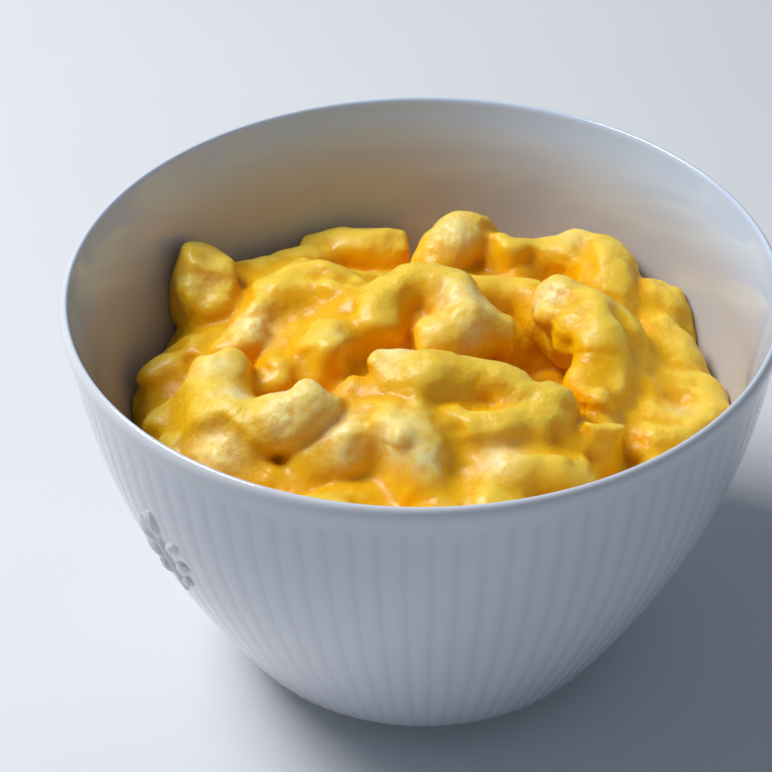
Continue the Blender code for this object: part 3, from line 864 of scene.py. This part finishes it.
def sauce_body(field, bare):
    """The sauce as a mesh, each point with how deep it sits in a crevice and over bare pasta."""
    grid = openvdb.FloatGrid(background=3.0)
    grid.copyFromArray(field)
    points, triangles, quads = grid.convertToPolygons(adaptivity=0.0005)
    points = points * VOXEL + FIELD_LOW
    faces = triangles.tolist() + quads.tolist()
    mesh = bpy.data.meshes.new("cheese_sauce")
    mesh.from_pydata((points * MM).tolist(), [], faces)
    mesh.shade_smooth()
    made = new_object("cheese_sauce", mesh)
    normals = np.zeros(len(points) * 3)
    mesh.vertex_normals.foreach_get("vector", normals)
    normals = normals.reshape(-1, 3)
    # crevice: how shut in each point is, sampled outward along its normal; it drives the painted crevice
    # shade.
    crevice = np.zeros(len(points))
    for away in (1.5, 3.0, 5.0):
        crevice += np.clip(1 - sample(field, points + normals * away) / away, 0, 1) / 3
    pooled = np.clip((sample(bare, points) + 0.3) / 2.2, 0, 1)
    # crest: how far each point stands out; together with upward it drives the painted top light.
    crest = np.clip(0.5 + sample(blurred(np.clip(field, -6, 6), 2.4), points) / 1.6, 0, 1)
    # Painted highlights: how near each point is to the listed highlight spots.
    cream_highlight = np.zeros(len(points))
    for *spot, radius in CREAMY_HIGHLIGHTS:
        away = np.linalg.norm(points - spot, axis=1)
        cream_highlight = np.maximum(cream_highlight, np.exp(-0.5 * (away / (0.6 * radius)) ** 2))
    grainy = np.clip(sample(0.5 + uneven(GRAINY_PLACES), points), 0, 1)
    # upward: how far each face turns up; it drives the painted top light and the painted side shade.
    upward = np.clip(normals[:, 2], 0, 1)
    for name, values in (("crevice", crevice), ("pooled", pooled), ("crest", crest),
                         ("cream_highlight", cream_highlight), ("grainy", grainy), ("upward", upward)):
        mesh.attributes.new(name, "FLOAT", "POINT").data.foreach_set("value", values)
    return made


def cheese_sauce():
    """Melted-cheese sauce: rich yellow, with a soft wet sheen and a fine curd in places. Its colour
    holds painted light: paler on upturned faces and crests and a creamy white at set spots (painted
    top light and painted highlights), a more saturated gold on faces that turn to the side and a
    deeper orange in crevices (painted shade); thick pooled sauce is a little less pale. Light soaks
    a couple of millimetres into it and comes out more orange."""
    material, tree, shader = new_material("cheese_sauce_melted")
    shader.inputs["Subsurface Weight"].default_value = 0.85
    shader.inputs["Subsurface Radius"].default_value = (0.8, 0.66, 0.2)
    shader.inputs["Subsurface Scale"].default_value = 2.4 * MM
    shader.inputs["IOR"].default_value = 1.45
    shader.inputs["Specular IOR Level"].default_value = 0.25
    shader.inputs["Coat Weight"].default_value = 0.1
    shader.inputs["Coat Roughness"].default_value = 0.2
    where = add(tree, "ShaderNodeTexCoord")
    pooled = add(tree, "ShaderNodeAttribute", {"attribute_name": "pooled"})
    crevice = add(tree, "ShaderNodeAttribute", {"attribute_name": "crevice"})
    crest = add(tree, "ShaderNodeAttribute", {"attribute_name": "crest"})
    cream_highlight = add(tree, "ShaderNodeAttribute", {"attribute_name": "cream_highlight"})
    grainy = add(tree, "ShaderNodeAttribute", {"attribute_name": "grainy"})
    upward = add(tree, "ShaderNodeAttribute", {"attribute_name": "upward"})
    drift = add(tree, "ShaderNodeTexNoise",
                inputs={"Vector": where.outputs["Object"], "Scale": 1 / (7 * MM), "Detail": 3.0})
    # Painted shade: faces that turn to the side are painted a more saturated gold.
    side_shade = add(tree, "ShaderNodeMath", {"operation": "MULTIPLY_ADD"},
                {0: drift.outputs[0], 1: 0.35, 2: upward.outputs["Fac"]})
    side_shade = add(tree, "ShaderNodeMapRange", {"interpolation_type": "SMOOTHSTEP"},
                {"Value": side_shade.outputs[0], "From Min": 1.0, "From Max": 0.5})
    # Painted top light: upturned faces and crests are painted paler, mixed with random drift and mottle;
    # thick pooled sauce is a little less pale.
    pale = add(tree, "ShaderNodeMath", {"operation": "MULTIPLY_ADD"},
               {0: upward.outputs["Fac"], 1: 0.6, 2: crest.outputs["Fac"]})
    pale = add(tree, "ShaderNodeMath", {"operation": "MULTIPLY_ADD"},
               {0: drift.outputs[0], 1: 0.5, 2: pale.outputs[0]})
    pale = add(tree, "ShaderNodeMath", {"operation": "MULTIPLY_ADD"},
               {0: pooled.outputs["Fac"], 1: -0.2, 2: pale.outputs[0]})
    mottle = add(tree, "ShaderNodeTexNoise",
                 inputs={"Vector": where.outputs["Object"], "Scale": 1 / (1.6 * MM), "Detail": 2.0})
    pale = add(tree, "ShaderNodeMath", {"operation": "MULTIPLY_ADD"},
               {0: mottle.outputs[0], 1: 0.7, 2: pale.outputs[0]})
    pale = add(tree, "ShaderNodeMapRange", {"interpolation_type": "SMOOTHSTEP"},
               {"Value": pale.outputs[0], "From Min": 1.53, "From Max": 1.95})
    tint = add(tree, "ShaderNodeMix", {"data_type": "RGBA"},
               {0: pale.outputs[0], 6: linear(SAUCE_MID), 7: linear(SAUCE_PALE_LIT)})
    tint = add(tree, "ShaderNodeMix", {"data_type": "RGBA"},
               {0: side_shade.outputs[0], 6: tint.outputs[2], 7: linear(SAUCE_SIDE_SHADE)})
    # Painted highlights: a creamy white at the listed spots, broken up by the mottle.
    highlight_patch = add(tree, "ShaderNodeMapRange", {"interpolation_type": "SMOOTHSTEP"},
                {"Value": mottle.outputs[0], "From Min": 0.3, "From Max": 0.6, "To Min": 0.45})
    highlight_patch = add(tree, "ShaderNodeMath", {"operation": "MULTIPLY"},
                {0: highlight_patch.outputs[0], 1: cream_highlight.outputs["Fac"]})
    tint = add(tree, "ShaderNodeMix", {"data_type": "RGBA"},
               {0: highlight_patch.outputs[0], 6: tint.outputs[2], 7: linear(SAUCE_CREAM_HIGHLIGHT)})
    # Painted shade: crevices are painted a deeper orange.
    deep = add(tree, "ShaderNodeMapRange", inputs={"Value": crevice.outputs["Fac"], "From Min": 0.15,
                                                   "From Max": 0.75})
    shade = add(tree, "ShaderNodeMix", {"data_type": "RGBA"},
                {0: deep.outputs[0], 6: tint.outputs[2], 7: linear(SAUCE_CREVICE_SHADE)})
    tree.links.new(shade.outputs[2], shader.inputs["Base Color"])
    wet = add(tree, "ShaderNodeTexNoise",
              inputs={"Vector": where.outputs["Object"], "Scale": 1 / (4 * MM), "Detail": 4.0})
    gloss = add(tree, "ShaderNodeMapRange",
                inputs={"Value": wet.outputs[0], "From Min": 0.3, "From Max": 0.7,
                        "To Min": 0.27, "To Max": 0.46})
    tree.links.new(gloss.outputs[0], shader.inputs["Roughness"])
    curd = add(tree, "ShaderNodeTexVoronoi", {"feature": "SMOOTH_F1"},
               {"Vector": where.outputs["Object"], "Scale": 1 / (1.3 * MM), "Randomness": 1.0})
    grain = add(tree, "ShaderNodeTexNoise",
                inputs={"Vector": where.outputs["Object"], "Scale": 1 / (0.9 * MM), "Detail": 3.0})
    rough = add(tree, "ShaderNodeMath", {"operation": "MULTIPLY_ADD"},
                {0: curd.outputs["Distance"], 1: -0.6, 2: grain.outputs[0]})
    rough = add(tree, "ShaderNodeMath", {"operation": "MULTIPLY"},
                {0: rough.outputs[0], 1: grainy.outputs["Fac"]})
    relief = add(tree, "ShaderNodeBump",
                 inputs={"Height": rough.outputs[0], "Strength": 0.6, "Distance": 0.35 * MM})
    soft = add(tree, "ShaderNodeBump",
               inputs={"Height": mottle.outputs[0], "Normal": relief.outputs[0], "Strength": 0.5,
                       "Distance": 0.35 * MM})
    tree.links.new(soft.outputs[0], shader.inputs["Normal"])
    return material


sauce = sauce_body(*sauce_field())
sauce.data.materials.append(cheese_sauce())
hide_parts("mac_and_cheese")
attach(sauce, "root")


# ---------------------------------------------------------------------------
# Table, light and camera. A plain white top, a large soft window behind and to the left, and
# an even cool room light. The camera looks down into the bowl from the near side.
# ---------------------------------------------------------------------------
TABLE_SIZE = 2400.0
TABLE_WHITE = "#DEDFE1"
TABLE_SHADE = "#D8DADD"
WINDOW_FROM = (-0.518, 0.209, 0.829)
WINDOW_DISTANCE = 900.0
WINDOW_SIZE = (340.0, 420.0)
WINDOW_POWER = 8.2
WINDOW_COLOUR = (0.98, 0.985, 1.0)
ROOM_COLOUR = (0.71, 0.82, 1.0, 1.0)
ROOM_LOW = 0.4
ROOM_HIGH = 0.18
CAMERA_PLACE = (-6.2, -303.4, 281.5)
CAMERA_PITCH = 37.30
CAMERA_ROLL = -0.99
CAMERA_LENS = 105.0
CAMERA_SENSOR = 36.0


def matt_table():
    """White laminate: smooth, matt and almost without grain."""
    material, tree, shader = new_material("laminate_white_matt")
    where = add(tree, "ShaderNodeTexCoord")
    drift = add(tree, "ShaderNodeTexNoise",
                inputs={"Vector": where.outputs["Object"], "Scale": 1 / (60 * MM), "Detail": 2.0})
    tint = add(tree, "ShaderNodeMix", {"data_type": "RGBA"},
               {0: drift.outputs[0], 6: linear(TABLE_WHITE), 7: linear(TABLE_SHADE)})
    tree.links.new(tint.outputs[2], shader.inputs["Base Color"])
    shader.inputs["Roughness"].default_value = 0.7
    return material


table_mesh = bpy.data.meshes.new("table_top")
half = TABLE_SIZE / 2 * MM
table_mesh.from_pydata([(-half, -half, 0), (half, -half, 0), (half, half, 0), (-half, half, 0)],
                       [], [(0, 1, 2, 3)])
table_mesh.materials.append(matt_table())
new_object("table_top", table_mesh)

window = bpy.data.lights.new("window_light", "AREA")
window.shape = "RECTANGLE"
window.size = WINDOW_SIZE[0] * MM
window.size_y = WINDOW_SIZE[1] * MM
window.energy = WINDOW_POWER
window.color = WINDOW_COLOUR
window_place = Vector(WINDOW_FROM).normalized() * WINDOW_DISTANCE * MM
window_lamp = new_object("window_light", window)
window_lamp.location = window_place
window_lamp.rotation_euler = window_place.to_track_quat("Z", "Y").to_euler()

room = bpy.data.worlds.new("room_light")
room.use_nodes = True
sky = room.node_tree.nodes["Background"]
sky.inputs[0].default_value = ROOM_COLOUR
facing = add(room.node_tree, "ShaderNodeTexCoord")
rise = add(room.node_tree, "ShaderNodeSeparateXYZ", inputs={0: facing.outputs["Generated"]})
level = add(room.node_tree, "ShaderNodeMapRange", {"interpolation_type": "SMOOTHSTEP"},
            {"Value": rise.outputs[2], "From Min": 0.0, "From Max": 0.8, "To Min": ROOM_LOW,
             "To Max": ROOM_HIGH})
room.node_tree.links.new(level.outputs[0], sky.inputs[1])
bpy.context.scene.world = room
bpy.context.scene.view_settings.view_transform = "Standard"

lens = bpy.data.cameras.new("camera")
lens.lens = CAMERA_LENS
lens.sensor_width = CAMERA_SENSOR
lens.clip_start = 0.01
camera = new_object("camera", lens)
tip_down = Matrix.Rotation(math.radians(90 - CAMERA_PITCH), 4, "X")
roll = Matrix.Rotation(math.radians(CAMERA_ROLL), 4, "Z")
camera.matrix_world = Matrix.Translation(Vector(CAMERA_PLACE) * MM) @ tip_down @ roll
bpy.context.scene.camera = camera
